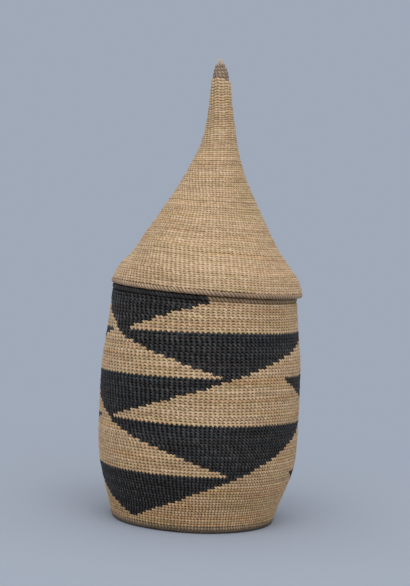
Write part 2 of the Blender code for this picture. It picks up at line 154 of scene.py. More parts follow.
# How far the lid's rows climb to the right, in degrees, how much shorter than usual stitches
# reach down, and how dark the painted shade in the weave's pockets is, as a share of the usual,
# by height in mm
LID_CLIMB = ((0, 0), (45, 0), (58, 3.5), (75, 4.5), (88, 6.6), (100, 8.5), (110, 8.0), (117, 4.0))
LID_SHORT = ((0, 0.10), (50, 0.15), (60, 0.20), (75, 0.40), (88, 0.50), (120, 0.50))
BODY_SHORT = ((0, 0.45), (22, 0.42), (38, 0.25), (48, 0.0), (130, 0.0))
LID_POCKET_SHADE = ((0, 0.75), (30, 0.62), (64, 0.55), (76, 0.30), (88, 0.35), (98, 0.55), (120, 0.65))
BODY_POCKET_SHADE = ((0, 2.2), (18, 1.9), (34, 1.3), (46, 1.0), (130, 1.0))
FOOT_POCKET_SHADE = flat(2.6)
# How much the painted shade in the pockets differs from row to row, and how high the lid's
# strips stand beside the wall's
POCKET_SHADE_CHANGE = 0.20
LID_RELIEF = 0.60

# The waves that leave a wall uneven: how many there are, how often each goes round, and how fast
# it climbs, in radians a metre
WAVES = 9
WAVE_TURNS = (2, 8)
WAVE_CLIMB = 90
# What is added to the seed, so that every piece draws its own numbers
SEEDS = {"wall_rows": 0, "base_rows": 100, "foot_rows": 120, "mouth_rim_wraps": 130,
         "collar_rows": 140, "collar_edge_wraps": 150, "lid_rows": 200, "lid_rim_wraps": 230,
         "grass_bundle": 300}

# Where hands have pressed the walls in: the middle's angle in degrees and height in mm, how far
# it reaches each way, and its depth as a share of the radius
BASKET_DENTS = ((90, 5, 60, 16, 0.047),)
LID_DENTS = ((-88, 18, 60, 10, 0.052), (-90, 38, 60, 6, 0.018))
# How far to the right the lid's middle lies beside the part's, both in mm
LID_BEND = ((0, 0.2), (40, -0.2), (52, -0.2), (62, -0.5), (72, -0.3), (84, 0.4), (92, 0.5),
            (112, 0.3), (118, 0.3), (121, 0.05), (125, -0.35), (128, -0.9))

# The base's start, and how far its last row reaches out to the foot
MIDDLE_HOLE = 0.00005
BASE_REACH = 0.0005
# Outline of the foot below the wall: its first two points, in half sizes of the part's foot out
# from and down from its middle, and its thickness, in half widths
FOOT_OUTLINE = ((0.35, 0.95), (0.85, 0.25))
FOOT_THICKNESS = 1.95

# Overcast coils: places along one wrap, how far out each lies in mm, how much painted shade it
# gets on the lid's rim and on the mouth's, and how square the coil is
RING_EDGES = ((0.0, -0.24), (0.20, 0.0), (0.50, 0.07), (0.82, -0.02))
LID_RIM_VALLEY_SHADE = (1.0, 0.10, 0.0, 0.15)
MOUTH_VALLEY_SHADE = (1.0, 0.45, 0.0, 0.50)
RING_SIDES = 10
RING_SQUARENESS = 0.82
# How far the tones of a wrap keep off those of the next
RING_MARGIN = 0.02
# Width and slant of the wraps
LID_RIM_WRAPS = (0.0021, 0.60)
MOUTH_WRAPS = (0.0021, 0.55)
COLLAR_WRAPS = (0.0022, 0.45)
# How far the rims of the mouth and the collar press down into the row below
MOUTH_RIM_LOWER = 0.0004
# How far the lid's rim keeps the natural colour, by angle in degrees
LID_RIM_NATURAL = ((-180, 0.5), (-100, 0.20), (-75, 0.15), (-62, 0.50), (-50, 0.50), (-10, 0.35),
                   (15, 0.10), (60, 0.10), (80, 0.60), (100, 0.70), (180, 0.5))

# The lid's coil ends at the front's right: at this angle its last row steps down to nothing,
# stays away for a share of a turn, and takes another share to rise again. What is left of it
# there is tucked in behind the row below
COIL_END = math.radians(33.0)
COIL_STEP = 0.03
COIL_GAP = 0.14
COIL_RISE = 0.40
COIL_LEAST = 0.06
COIL_TUCK = 0.0007

# The cord round the tip, which is taller than it is thick, and how it winds: level at first, then
# up and in, to an angle of a dome
CORD_DIAMETER = 0.00155
CORD_TALL = 1.65
CORD_TURNS = 4.3
CORD_LEVEL_TURNS = 1.0
CORD_SINK = 0.0008
WINDING_RADIUS = 0.0038
WINDING_CLOSING = math.radians(62.0)
CORD_STEPS = 96
CORD_SIDES = 16
# How far its two plies stand out, how far they twist in all, how dark the painted shade in the
# valley between them is, and over which share of its length, and down to which thickness, it ends
CORD_PLY = 0.13
CORD_TWIST = 330.0
CORD_VALLEY_SHADE = 0.75
CORD_END = 0.015
CORD_END_LEAST = 0.35

# The grass in the spire, whose ends stand out at the tip: its strands, how much each of them
# differs, how far they lie from the middle, draw in towards it and turn round it
STRANDS = 36
STRAND_STEPS = 22
STRAND_SIDES = 6
STRAND_RADIUS = 0.00030
STRAND_CHANGE = 0.2
STRAND_WANDER = 0.35
STRAND_ENDS = (-0.0015, 0.0006)
BUNDLE_SPREAD = 0.0019
BUNDLE_TAPER = 0.45
BUNDLE_TWIST = 1.5
# From one strand to the next, which spreads them evenly
GOLDEN_ANGLE = 2.399963
# How high the ends stand free, how far and how soon they spread there, how much thinner they get,
# and how much lower they end than the part
TUFT_RISE = 0.0034
TUFT_SPREAD = 0.0013
TUFT_FLARE = 0.6
TUFT_THINNING = 0.70
TUFT_TRIM = 0.0004

# Runs of stitches share their tone, their warmth and their green. First how unlike the next row's
# tone is, then for either tint how long its runs are, where they start and how unlike the next
# row's are, and between which values of their noise it comes in
TONE_STEP = 7.31
WARM_RUNS = (0.7, 31.0, 5.17)
COOL_RUNS = (0.8, 77.0, 3.93)
WARM_REACH = (0.56, 0.74)
COOL_REACH = (0.50, 0.70)
# Fibres to a stitch and to a row, and how unlike the next row's are; how fine and how rough their
# noise is; how high they stand and how much they change the gloss
FIBRES = (11.0, 0.9, 3.7)
FIBRE_NOISE = (3.0, 0.6)
FIBRE_HEIGHT = 0.00009
FIBRE_STRENGTH = 0.6
FIBRE_ROUGHNESS = 0.12
POCKET_ROUGHNESS = 0.25
# How the painted shade grows with how deep a point lies
PAINTED_SHADE_POWER = 0.8
# How far the dim and bright strips of the brown work lie from its plain ones, and how dark the
# painted shade in its pockets is beside them
SPREADS = {"rim": 0.30, "mouth": 0.30, "foot": 0.45, "tip": 0.50, "bundle": 0.30}
PAINTED_SHADE_TONE = 0.16
# Heights over which the painted shadow at the foot, where it stands on the table, fades out, and
# the wall turns from brown to fresh
FLOOR_SHADOW_REACH = (0.0003, 0.0034)
BROWNED_REACH = (0.004, 0.052)
WHITE = (1.0, 1.0, 1.0)
BLACK = (0.0, 0.0, 0.0)

# The table goes up into a wall behind it, in one sweep
TABLE_SIZE = 3.0
TABLE_BACK = 0.3
SWEEP_RADIUS = 0.5
SWEEP_STEPS = 24
WALL_RISE = 1.4
# How much darker the table is than what is seen behind it, because the light falls straight on
# it, and its specks to a metre and their change of tone
TABLE_TONE = 0.86
TABLE_ROUGHNESS = 0.75
SPECKS = 340.0
SPECK_TONE = 0.06
# How far round the basket the table shows its own light and shadow, and where it no longer does
SHADED_REACH = (0.10, 0.42)
# The main light, the point that it is turned to, and the camera's frame in mm and nearest sight
KEY_PLACE = (0.04, -1.15, 1.65)
KEY_SIZE = 1.9
LIT_POINT = (0.0, 0.0, 0.12)
SENSOR_WIDTH = 36.0
NEAREST_SEEN = 0.01


def at_height(table, heights):
    """Reads one of the tables above at some heights in metres."""
    levels, values = zip(*table)
    return np.interp(heights, np.array(levels) * MM, values)


def smooth(way):
    """0 to 1, with a gentle start and end."""
    way = np.clip(way, 0, 1)
    return way ** 2 * (3 - 2 * way)


def degrees_from(middle, angle):
    """Angles in degrees from a middle, at most half a turn either way."""
    return np.degrees(np.angle(np.exp(1j * (angle - math.radians(middle)))))


def node_points(*nodes):
    """The corners of CAD nodes, as one array."""
    return np.array([corner.co for node in nodes
                     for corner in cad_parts[node].data.vertices], dtype=float)


def levels_of(values):
    """The different values among some, to a tenth of a millimetre."""
    return np.unique(np.round(values, LEVEL_DIGITS))


def nearest_plane(points):
    """Level and slopes along x and y of the plane nearest to some points."""
    about = np.column_stack((np.ones(len(points)), points[:, :2]))
    return np.linalg.lstsq(about, points[:, 2], rcond=None)[0]


def pressed(dents, angle, height):
    """What is left of the radius where hands have pressed a wall in."""
    left = 1.0
    for middle, level, wide, tall, depth in dents:
        away = (degrees_from(middle, angle) / wide) ** 2 + ((height / MM - level) / tall) ** 2
        left = left - depth * np.exp(-away)
    return left


class BasketAxes:
    """Turns (angle, radius, height) into a point of the basket, and a point into (radius, height).

    Rows slope near the mouth as the mouth does.
    """

    def __init__(self):
        rim = node_points("mouth_rim_coil")
        _, self.slope_x, self.slope_y = nearest_plane(rim)
        self.mouth = (rim[:, 2] - rim[:, :2] @ (self.slope_x, self.slope_y)).max()

    def rise(self, x, y, height):
        depth = self.mouth - height
        belly = np.clip(1 - depth / BELLY_LEAN_DEPTH, 0, 1)
        return (smooth(1 - depth / LEAN_DEPTH) * (self.slope_x * x + self.slope_y * y)
                + 4 * belly * (1 - belly) * math.tan(BELLY_LEAN) * x)

    def place(self, angle, radius, height):
        radius = radius * pressed(BASKET_DENTS, angle, height)
        x, y = radius * np.sin(angle), -radius * np.cos(angle)
        return np.stack((x, y, height + self.rise(x, y, height)), axis=-1)

    def measure(self, points):
        x, y, z = points.T
        height = z
        for _ in range(MEASURE_ROUNDS):
            height = z - self.rise(x, y, height)
        return np.column_stack((np.hypot(x, y), height))


class LidAxes:
    """The same for the lid, which leans with the mouth and whose middle sways."""

    def __init__(self):
        rim = node_points("lid_rim_coil")
        _, slope_x, slope_y = nearest_plane(rim)
        self.up = np.array((-slope_x, -slope_y, 1.0))
        self.up /= np.linalg.norm(self.up)
        self.across = np.cross((0, 1, 0), self.up)
        self.across /= np.linalg.norm(self.across)
        self.deep = np.cross(self.up, self.across)
        middle = rim.mean(axis=0)
        self.origin = middle + self.up * ((rim @ self.up).min() - middle @ self.up)
        skin = self.turn_in(node_points("lid_stitching"))
        self.levels = levels_of(skin[:, 2])
        self.sway = np.array([skin[np.abs(skin[:, 2] - level) < LEVEL_WIDTH, 0].mean()
                              for level in self.levels])

    def turn_in(self, points):
        return (points - self.origin) @ np.column_stack((self.across, self.deep, self.up))

    def middle(self, height):
        return np.interp(height, self.levels, self.sway)

    def place(self, angle, radius, height):
        radius = radius * pressed(LID_DENTS, angle, height)
        x = self.middle(height) + at_height(LID_BEND, height) * MM + radius * np.sin(angle)
        y = -radius * np.cos(angle)
        return (self.origin + x[..., None] * self.across + y[..., None] * self.deep
                + height[..., None] * self.up)

    def measure(self, points):
        x, y, height = self.turn_in(points).T
        return np.column_stack((np.hypot(x - self.middle(height), y), height))


BASKET = BasketAxes()
LID = LidAxes()


def outline_of(axes, *nodes):
    """The outer outline of CAD nodes as (radius, height), lowest first."""
    measured = axes.measure(node_points(*nodes))
    levels = levels_of(measured[:, 1])
    kept = [levels[0]]
    for level in levels[1:]:
        if level - kept[-1] > LEVEL_WIDTH:
            kept.append(level)
    near = [measured[np.abs(measured[:, 1] - level) <= LEVEL_WIDTH] for level in kept]
    return np.array([(points[:, 0].max(), level) for points, level in zip(near, kept)])


def skin_outline(axes, wall, *skins):
    """Outline of the skins at the heights where the wall under them has its own."""
    inner = outline_of(axes, wall)
    outer = outline_of(axes, *skins)
    return np.column_stack((np.interp(inner[:, 1], outer[:, 1], outer[:, 0]), inner[:, 1]))


def wall_thickness(axes, wall, outline):
    """From the outline in to the wall's inner side, at the middle of its height."""
    measured = axes.measure(node_points(wall))
    radius, height = outline[len(outline) // 2]
    near = measured[np.abs(measured[:, 1] - height) < LEVEL_WIDTH]
    return radius - near[:, 0].min()


def coil_reach(axes, node):
    """Least and most (radius, height) of a coil."""
    measured = axes.measure(node_points(node))
    return measured.min(axis=0), measured.max(axis=0)


def coil_size(axes, node):
    """Middle and half sizes of a coil that goes round, as ((radius, height), (wide, high))."""
    low, high = coil_reach(axes, node)
    return (low + high) / 2, (high - low) / 2


class Wall:
    """A turned wall that rows are laid on, measured along its outer outline."""

    def __init__(self, axes, outline, thickness):
        self.axes = axes
        self.thickness = thickness
        steps = np.hypot(*np.diff(outline, axis=0).T)
        runs = np.concatenate(([0], np.cumsum(steps)))
        fine = np.linspace(0, runs[-1], WALL_SAMPLES)
        path = np.column_stack([self.cubic(runs, column, fine) for column in outline.T])
        leave, arrive = path[0] - path[1], path[-1] - path[-2]
        leave *= ROW_END_REACH / np.linalg.norm(leave)
        arrive *= ROW_END_REACH / np.linalg.norm(arrive)
        self.path = np.vstack((path[0] + leave, path, path[-1] + arrive))
        steps = np.hypot(*np.diff(self.path, axis=0).T)
        self.runs = np.concatenate(([0], np.cumsum(steps))) - ROW_END_REACH
        self.length = self.runs[-2]
        self.ways = np.gradient(self.path, self.runs, axis=0)

    @staticmethod
    def cubic(runs, values, fine):
        """A smooth curve through the outline's points, with their neighbours' slopes."""
        slopes = np.gradient(values, runs)
        at = np.clip(np.searchsorted(runs, fine) - 1, 0, len(runs) - 2)
        run = runs[at + 1] - runs[at]
        t = (fine - runs[at]) / run
        start, end = values[at], values[at + 1]
        leave, arrive = slopes[at] * run, slopes[at + 1] * run
        turn = 3 * (end - start) - 2 * leave - arrive
        bend = 2 * (start - end) + leave + arrive
        return start + t * (leave + t * (turn + t * bend))

    def at(self, run, out):
        """(radius, height) at a length along the wall, and so far out from it."""
        radius, height, way_r, way_h = (np.interp(run, self.runs, column)
                                        for column in (*self.path.T, *self.ways.T))
        return radius + out * way_h, height - out * way_r

    def split(self, table):
        """Edges of the rows, as lengths along the wall."""
        fine = np.linspace(0, self.length, ROW_SAMPLES)
        pitch = at_height(table, self.at(fine, 0)[1])[1:] * MM
        count = np.concatenate(([0], np.cumsum(np.diff(fine) / pitch)))
        rows = round(count[-1])
        return np.interp(np.arange(rows + 1) * count[-1] / rows, count, fine)


class Unevenness:
    """Slow waves over a wall, the same for every row, as a hand leaves them."""

    def __init__(self, seed, size):
        chance = np.random.default_rng(seed)
        self.turns = chance.integers(*WAVE_TURNS, WAVES)
        self.climb = chance.uniform(-WAVE_CLIMB, WAVE_CLIMB, WAVES)
        self.phase = chance.uniform(0, 2 * math.pi, WAVES)
        self.size = size / math.sqrt(WAVES)

    def __call__(self, angle, run):
        wave = sum(np.sin(turns * angle + climb * run + phase)
                   for turns, climb, phase in zip(self.turns, self.climb, self.phase))
        return self.size * wave


def risen(turns):
    """How far the lid's last row has risen, by the turns since its coil's end."""
    return smooth((turns - COIL_GAP) / COIL_RISE)


def left_of_last_row(angle):
    """How much of its height the lid's last row has."""
    turns = np.mod(angle - COIL_END, 2 * math.pi) / (2 * math.pi)
    there = np.minimum(risen(turns), np.clip((1 - turns) / COIL_STEP, 0, 1))
    return COIL_LEAST + (1 - COIL_LEAST) * there


def turned(stitches, count):
    """Angles of places that are given in stitches, of which so many go round."""
    angle = (stitches - count // 2) * 2 * math.pi / count
    return angle + CROWDING * np.cos(angle)


def all_round(values, count, parts=PARTS, turn=0):
    """Values for every part of every stitch, and at the end the first one again, a turn on."""
    values = np.broadcast_to(values, (count, parts)).ravel()
    return np.append(values, values[0] + turn)


def over_and_under(outer, inner):
    """Values across a row: outside, at the two inner corners, and where it closes."""
    return np.vstack((outer, *(np.full(outer.shape[1], value) for value in inner), outer[:1]))


def bent_grid(name, points, places, numbers, finishes):
    """A grid that is bent to an array of points.

    places are the u and v that its finish reads, and numbers are its other attributes.
    """
    shape = points.shape[:2]
    bpy.ops.mesh.primitive_grid_add(x_subdivisions=shape[1] - 1, y_subdivisions=shape[0] - 1,
                                    size=1.0, calc_uvs=True)
    piece = bpy.context.object
    mesh = piece.data
    piece.name = mesh.name = name
    mesh.vertices.foreach_set("co", points.ravel())
    corners = np.empty(len(mesh.loops), dtype=np.int32)
    mesh.loops.foreach_get("vertex_index", corners)
    both = [np.broadcast_to(place, shape).ravel()[corners] for place in places]
    mesh.uv_layers[0].data.foreach_set("uv", np.column_stack(both).ravel())
    for attribute, values in numbers.items():
        layer = mesh.attributes.new(attribute, "FLOAT", "POINT")
        layer.data.foreach_set("value", np.broadcast_to(values, shape).ravel())
    for finish in finishes:
        mesh.materials.append(finish)
    mesh.polygons.foreach_set("use_smooth", np.ones(len(mesh.polygons), dtype=bool))
    return piece


class Weave:
    """How the rows of one wall are laid: pitch, stitches, slant and how uneven they are."""

    def __init__(self, piece, wall, rows, stitches, slant, relief=1.0, climb=flat(0),
                 short=flat(0), pockets=flat(1), ends=False):
        look = bpy.context.scene.basket_weave
        seed = look.seed + SEEDS[piece]
        self.wall = wall
        self.edges = wall.split(rows)
        self.stitches = stitches
        self.tables = (slant, climb, short, pockets)
        self.look = look
        self.relief = look.relief * relief
        self.ends = ends
        self.chance = np.random.default_rng(seed)
        self.row_chance = np.random.default_rng(seed + 3)
        self.swell = Unevenness(seed + 1, look.swell)
        self.drift = Unevenness(seed + 2, look.drift)

    @property
    def rows(self):
        return len(self.edges) - 1

    def middle(self, row):
        """Where a row's middle lies: length along the wall, radius and height."""
        run = (self.edges[row] + self.edges[row + 1]) / 2
        return run, *self.wall.at(run, 0)

    def stitch_count(self, row):
        _, radius, height = self.middle(row)
        width = at_height(self.stitches, height) * MM
        return max(FEWEST_STITCHES, round(2 * math.pi * radius / width))

    def section(self, count, short, bulge, reach, proud):
        """How far up and out a row's points lie and how much painted shade they get, across it and
        all round.
        """
        crosses = all_round(CROSSES, count) > 0
        side = all_round(SIDES, count)
        tail = all_round(reach[:, None] + END_CUT, count) - short
        up, out, up_cross, out_cross, dark, painted_shade_cross = np.array(WRAPPED).T[..., None]
        reached = up_cross + np.minimum(up_cross - TAIL_TOP, 0) * tail
        stands = np.where(crosses, out_cross, out - side * SIDE_DIP) * self.relief + PROUD
        # Painted shade: deeper points and the strip's sides are darker
        shade = np.where(crosses, painted_shade_cross, dark + side * SIDE_SHADE)
        return (over_and_under(np.where(crosses, reached, up), INNER_CORNERS),
                over_and_under(stands * MM + all_round(bulge[:, None], count) + proud,
                               (-self.wall.thickness, -self.wall.thickness)),
                over_and_under(shade, (INNER_PAINTED_SHADE, INNER_PAINTED_SHADE)))

    def lay(self, row, surface_of, finishes):
        """One row as its own object. surface_of says which finish each stitch has."""
        look, wall, chance = self.look, self.wall, self.chance
        count = self.stitch_count(row)
        middle, radius, height = self.middle(row)
        half = (self.edges[row + 1] - self.edges[row]) / 2
        width = 2 * math.pi * radius / count
        # The last table is how dark the painted shade in the pockets is at this height
        slant, climb, short, pockets = (float(at_height(table, height)) for table in self.tables)
        climb = math.tan(math.radians(climb)) * radius
        pockets *= math.exp(self.row_chance.normal(0, POCKET_SHADE_CHANGE))

        phase = chance.uniform(-look.phase, look.phase)
        slant *= 1 + chance.uniform(-look.lean_change, look.lean_change)
        proud = chance.normal(0, look.row_change)
        strip = min(look.strip / width, look.widest) * (1 + chance.normal(0, STRIP_CHANGE, count))
        slip, bulge, reach = (chance.normal(0, change, count)
                              for change in (look.slip, look.bulge, look.reach_change))
        along = np.array(STITCH_EDGES) * strip[:, None] + slip[:, None]
        along[:, -1] = WRAP_PLACE * (1 + slip)
        stitches = np.arange(count)[:, None]
        around = all_round(along + stitches, count, turn=count)
        up, out, dark = self.section(count, short, bulge, reach, proud)

        follows = np.array([1.0] * len(WRAPPED) + [INNER_SLANT] * len(INNER_CORNERS) + [1.0])
        shift = slant * up * follows[:, None] * half / width
        angle = turned(around - shift + phase, count)
        if self.ends and row == self.rows - 1:
            left = left_of_last_row(angle)
            up = (up + 1) * left - 1
            out = out - COIL_TUCK * (1 - left)
        run = middle + up * half + self.drift(angle, middle) + climb * np.sin(angle)
        points = wall.axes.place(angle, *wall.at(run, out + self.swell(angle, run)))
        points[..., 2] = np.maximum(points[..., 2], 0)

        tones = [0.5 + OUTER_TONES * point[0] for point in WRAPPED]
        places = (all_round(stitches + TONES, count, turn=count),
                  row + np.array((*tones, *INNER_TONES))[:, None])
        # Painted shade: depth and groove say how much the finish darkens each point
        numbers = {"depth": np.clip(dark * pockets, 0, 1),
                   "groove": all_round(GROOVE_SHADES, count) * min(pockets, 1.0)}
        piece = bent_grid("row", points, places, numbers, finishes)
        if surface_of:
            angles = turned(np.arange(count) + DYE_PLACE + phase, count)
            centres = wall.axes.place(angles, *wall.at(np.full(count, middle), np.zeros(count)))
            slots = np.repeat([surface_of(Vector(centre)) for centre in centres], PARTS)
            slots = np.tile(slots, len(points) - 1).astype(np.int32)
            piece.data.polygons.foreach_set("material_index", slots)
        return piece

    def groups(self):
        """Splits the rows into groups of not too many stitches, lowest first."""
        counts = [self.stitch_count(row) for row in range(self.rows)]
        groups = math.ceil(sum(counts) / MOST_STITCHES)
        whole = sum(counts) / groups
        firsts = [int(np.searchsorted(np.cumsum(counts), whole * group)) for group in range(groups)]
        firsts.append(self.rows)
        return [range(first, last) for first, last in zip(firsts, firsts[1:])]


def clear_selection():
    if bpy.context.object and bpy.context.object.mode != "OBJECT":
        bpy.ops.object.mode_set(mode="OBJECT")
    bpy.ops.object.select_all(action="DESELECT")


def edit_whole(piece, *steps):
    """Runs operators on all of a piece, each given with its settings."""
    clear_selection()
    piece.select_set(True)
    bpy.context.view_layer.objects.active = piece
    bpy.ops.object.mode_set(mode="EDIT")
    bpy.ops.mesh.select_all(action="SELECT")
    for operator, settings in steps:
        operator(**settings)
    bpy.ops.object.mode_set(mode="OBJECT")


CLOSE_SEAMS = (bpy.ops.mesh.remove_doubles, {"threshold": MERGE})
FILL_ENDS = (bpy.ops.mesh.fill_holes, {"sides": 0})


def join(pieces, name, *further):
    """Joins pieces into one, closes its seams and takes any further steps."""
    clear_selection()
    for piece in pieces:
        piece.select_set(True)
    bpy.context.view_layer.objects.active = pieces[0]
    if len(pieces) > 1:
        bpy.ops.object.join()
    piece = bpy.context.object
    edit_whole(piece, CLOSE_SEAMS, *further)
    piece.name = piece.data.name = name
    return piece


def part_by_finish(piece, names):
    """Cuts a piece where its finish changes, closes the cut ends and names the parts."""
    order = [finish.name for finish in piece.data.materials]
    edit_whole(piece, (bpy.ops.mesh.separate, {"type": "MATERIAL"}))
    parts = list(bpy.context.selected_objects)
    for part in parts:
        edit_whole(part, FILL_ENDS)
        part.name = part.data.name = names[order.index(part.data.materials[0].name)]
    return parts


def ready(piece, body, slot, *nodes):
    """Puts a finished piece on its body, in place of its CAD nodes."""
    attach(piece, body)
    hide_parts(*nodes)


def lay_rows(weave, rows, name, finish, body, slot, *nodes):
    """Rows of one finish, joined to one finished piece."""
    piece = join([weave.lay(row, None, (finish,)) for row in rows], name)
    ready(piece, body, slot, *nodes)


def overcast_ring(name, axes, node, wraps, finish, valleys, other_at=None, lower=0.0):
    """A coil that is wrapped all the way round with slanting strips.

    other_at gives how far each wrap has its finish's other colours, from the wraps' angles, and
    lower is how far below its CAD solid it reaches.
    """
    look = bpy.context.scene.basket_weave
    width, slant = wraps
    chance = np.random.default_rng(look.seed + SEEDS[name])
    middle, half = coil_size(axes, node)
    middle[1] -= lower / 2
    half[1] += lower / 2
    count = round(2 * math.pi * middle[0] / width)
    parts = len(RING_EDGES)
    numbers = np.arange(count)[:, None]
    place, out = (np.array(column) for column in zip(*RING_EDGES))
    around = numbers + place + chance.normal(0, look.slip, (count, 1))
    out = out * look.relief * MM + chance.normal(0, look.bulge, (count, 1))
    around = all_round(around, count, parts, count)
    out = all_round(out, count, parts)
    over = np.linspace(0, 1, RING_SIDES + 1)[:, None]
    turn = (2 * over - 0.5) * math.pi
    angle = (around - slant * np.sin(turn)) * 2 * math.pi / count
    reach_r, reach_h = (np.sign(way) * np.abs(way) ** RING_SQUARENESS
                        for way in (np.cos(turn), np.sin(turn)))
    points = axes.place(angle, middle[0] + reach_r * (half[0] + out),
                        middle[1] + reach_h * (half[1] + out))
    u = all_round(numbers + RING_MARGIN + (1 - 2 * RING_MARGIN) * place, count, parts)
    u[-1] = count
    # Painted shade in the valleys between the wraps
    values = {"depth": all_round(valleys, count, parts)}
    if other_at:
        shares = other_at((numbers + 0.5) * 2 * math.pi / count)
        values["other"] = all_round(shares, count, parts)
    places = (u, RING_MARGIN + (1 - 2 * RING_MARGIN) * over)
    return join([bent_grid(name, points, places, values, (finish,))], name)


def tube(name, middle, reach, ways, finish, tones, dark):
    """A tube round a line of points, which reaches so far along two ways at each side.

    Its tone changes from one whole number of tones to the next, and dark is the painted shade
    it gets by how deep it lies.
    """
    points = middle[:, None] + sum((reach * far)[..., None] * way for far, way in ways)
    return bent_grid(name, points, (tones, 0.5), {"depth": dark}, (finish,))


# Shader maths


class Value:
    """One output of a shader node, which plain arithmetic can be written with."""

    def __init__(self, nodes, socket):
        self.nodes = nodes
        self.socket = socket

    def _maths(self, operation, *values):
        return self.nodes.node("ShaderNodeMath", {"operation": operation}, dict(enumerate(values)))

    def __add__(self, other):
        return self._maths("ADD", self, other)

    def __sub__(self, other):
        return self._maths("SUBTRACT", self, other)

    def __mul__(self, other):
        return self._maths("MULTIPLY", self, other)

    __radd__ = __add__

    def floor(self):
        return self._maths("FLOOR", self)

    def power(self, exponent):
        return self._maths("POWER", self, exponent)

    def between(self, low, high):
        """0 at low, 1 at high, and straight in between."""
        return self.nodes.node("ShaderNodeMapRange", {"clamp": True},
                               {"Value": self, "From Min": low, "From Max": high})


class Nodes:
    """The nodes of a material or a world, which are written as a few lines of shader maths."""

    def __init__(self, block):
        block.use_nodes = True
        self.tree = block.node_tree

    def node(self, kind, settings=None, values=None, output=0):
        """Adds a node: its settings first, then the values or links of its sockets."""
        node = self.tree.nodes.new(kind)
        for name, setting in (settings or {}).items():
            setattr(node, name, setting)
        for key, value in (values or {}).items():
            self.give(node.inputs[key], value)
        return Value(self, node.outputs[output])

    def give(self, socket, value):
        if isinstance(value, Value):
            self.tree.links.new(value.socket, socket)
        else:
            socket.default_value = value

    def own(self, name, **values):
        """A node that is there from the start. A _ in a socket's name stands for a space."""
        node = self.tree.nodes[name]
        for socket, value in values.items():
            self.give(node.inputs[socket.replace("_", " ")], value)
        return Value(self, node.outputs[0]) if node.outputs else None

    def part(self, vector, axis):
        return self.node("ShaderNodeSeparateXYZ", None, {0: vector}, output=axis)

    def vector(self, x=0.0, y=0.0, z=0.0):
        return self.node("ShaderNodeCombineXYZ", None, {0: x, 1: y, 2: z})

    def place(self):
        return self.node("ShaderNodeTexCoord", output=3)

    def attribute(self, name):
        return self.node("ShaderNodeAttribute", {"attribute_name": name}, output=2)

    def noise(self, vector, scale, detail=2.0, roughness=0.5):
        return self.node("ShaderNodeTexNoise", {"noise_dimensions": "3D"},
                         {"Vector": vector, "Scale": scale, "Detail": detail,
                          "Roughness": roughness})

    def blend(self, first, second, amount, kind="MIX"):
        """Mixes two colours, the node's inputs 6 and 7, or multiplies them."""
        return self.node("ShaderNodeMix", {"data_type": "RGBA", "blend_type": kind},
                         {0: amount, 6: first, 7: second}, output=2)

    def mixed(self, amount, first, second):
        """Mixes two shaders."""
        return self.node("ShaderNodeMixShader", None, {0: amount, 1: first, 2: second})


def opaque(paint):
    return (*paint, 1.0)


def strip_finish(name, shades, look, warm, cool, other=None, gloss=0.5, groove_shade_share=0.0,
                 browned=False, floor_shaded=False):
    """A finish for work of strips: each stitch has its own tone, and runs of them share one.

    shades are the dim, plain and bright strips and the colour of the painted shade between them.
    Where the piece's own attribute says so, they give way to other ones. Browned work gets warmer
    towards the foot, and floor-shaded work gets a painted shadow where it stands.
    """
    material = bpy.data.materials.new(name)
    finish = Nodes(material)
    strips = finish.node("ShaderNodeUVMap", {"uv_map": "UVMap"})
    u, v = finish.part(strips, 0), finish.part(strips, 1)
    stitch, row = u.floor(), v.floor()

    single = finish.node("ShaderNodeTexWhiteNoise", {"noise_dimensions": "2D"},
                         {"Vector": finish.vector(stitch, row)})
    run = finish.noise(finish.vector(stitch * look.run_share, row * TONE_STEP), 1.0, 1.0)
    patch = finish.noise(finish.place(), look.patch_scale)
    along, across, next_row = FIBRES
    fibre = finish.noise(finish.vector(u * along, v * across, row * next_row), 1.0, *FIBRE_NOISE)
    tone = 0.5 + (single - 0.5) * look.single + (run - 0.5) * look.run \
        + (patch - 0.5) * look.patch + (fibre - 0.5) * look.fibre

    def toned(dim, plain, bright):
        lower = finish.blend(opaque(dim), opaque(plain), tone.between(0.0, 0.5))
        return finish.blend(lower, opaque(bright), tone.between(0.5, 1.0))

    paint, shade_colour = toned(*shades[:3]), opaque(shades[3])
    tints = ((warm, WARM_RUNS, WARM_REACH, look.warmth),
             (cool, COOL_RUNS, COOL_REACH, look.coolness))
    for tint, (stretch, start, step), reach, strength in tints:
        place = finish.vector(stitch * look.run_share * stretch + start, row * step)
        there = finish.noise(place, 1.0, 0.0).between(*reach) * strength
        paint = finish.blend(paint, opaque(tint), there, "MULTIPLY")
    if other:
        there = finish.attribute("other")
        paint = finish.blend(paint, toned(*other[:3]), there)
        shade_colour = finish.blend(shade_colour, opaque(other[3]), there)
    height = finish.part(finish.place(), 2)
    if browned:
        tint = finish.blend(opaque(look.browned), opaque(WHITE), height.between(*BROWNED_REACH))
        paint = finish.blend(paint, tint, 1.0, "MULTIPLY")
    # Painted shadow: darker towards the bottom, where the foot stands on the table
    if floor_shaded:
        paint = finish.blend(opaque(shades[3]), paint, height.between(*FLOOR_SHADOW_REACH))
    # Painted shade: the colour darkens towards the shade colour where points lie deep between
    # strips
    depth = finish.attribute("depth")
    shade = depth.power(PAINTED_SHADE_POWER) * look.painted_shade_share
    if groove_shade_share:
        shade = shade + finish.attribute("groove") * groove_shade_share
    rough = look.rough + (fibre - 0.5) * FIBRE_ROUGHNESS + depth * POCKET_ROUGHNESS
    raised = finish.node("ShaderNodeBump", None, {"Height": fibre, "Distance": FIBRE_HEIGHT,
                                                  "Strength": FIBRE_STRENGTH})
    finish.own("Principled BSDF", Base_Color=finish.blend(paint, shade_colour, shade),
               Roughness=rough, Specular_IOR_Level=gloss, Normal=raised)
    return material


